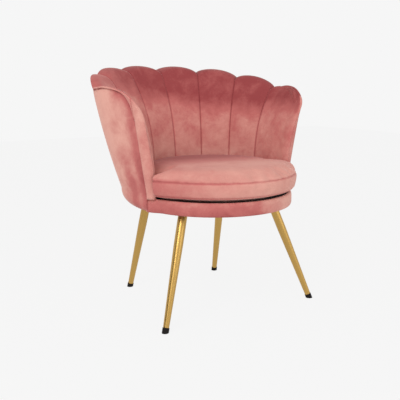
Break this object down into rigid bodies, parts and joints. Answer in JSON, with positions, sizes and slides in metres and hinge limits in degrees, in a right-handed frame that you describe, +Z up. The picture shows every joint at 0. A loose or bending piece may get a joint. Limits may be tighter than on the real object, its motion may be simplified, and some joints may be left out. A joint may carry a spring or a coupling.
{
  "type": "scallop back chair",
  "caption": "Round velvet tub chair with a scalloped, channelled back, a loose round seat cushion and splayed brass-coloured legs.",
  "frame": {"origin": "on the floor, under the middle of the chair's outline", "axes": "+Z up, -Y the way the chair faces, +X to the left of a person sitting in it"},
  "size_m": [0.7174, 0.6804, 0.7712],
  "materials": {
    "velvet": "dusty rose cut-pile velvet over foam",
    "brass": "satin brass-coloured plating on steel tube",
    "black_plastic": "matt black",
    "black_steel": "black oxide",
    "black_lining": "black non-woven lining cloth",
    "foam": "open-cell upholstery foam",
    "zinc_steel": "zinc plated",
    "fibreboard": "bent fibreboard, raw",
    "plywood": "plywood, raw"
  },
  "bodies": {
    "chair": {"back_ribs": "plywood", "base_band": "velvet", "deck_lining": "black_lining", "deck_pad": "foam", "foot_cap_back_left": "black_plastic", "foot_cap_back_right": "black_plastic", "foot_cap_front_left": "black_plastic", "foot_cap_front_right": "black_plastic", "inner_panel": "fibreboard", "leg_back_left": "brass", "leg_back_right": "brass", "leg_front_left": "brass", "leg_front_right": "brass", "leg_plate_back_left": "brass", "leg_plate_back_right": "brass", "leg_plate_front_left": "brass", "leg_plate_front_right": "brass", "leg_screws": "black_steel", "outer_cover": "velvet", "outer_panel": "fibreboard", "petal_centre_left": "velvet", "petal_centre_right": "velvet", "petal_front_left": "velvet", "petal_front_right": "velvet", "petal_rear_left": "velvet", "petal_rear_right": "velvet", "petal_side_left": "velvet", "petal_side_right": "velvet", "rib_screws": "zinc_steel", "seat_board": "plywood", "tee_nuts": "zinc_steel", "top_rail": "plywood", "under_lining": "black_lining"},
    "cushion": {"seat_cushion": "velvet"}
  },
  "joints": [
    {"name": "cushion_lift", "type": "slide", "parent": "chair", "child": "cushion", "axis": [0, 0, 1], "range_m": [0, 0.42]}
  ]
}
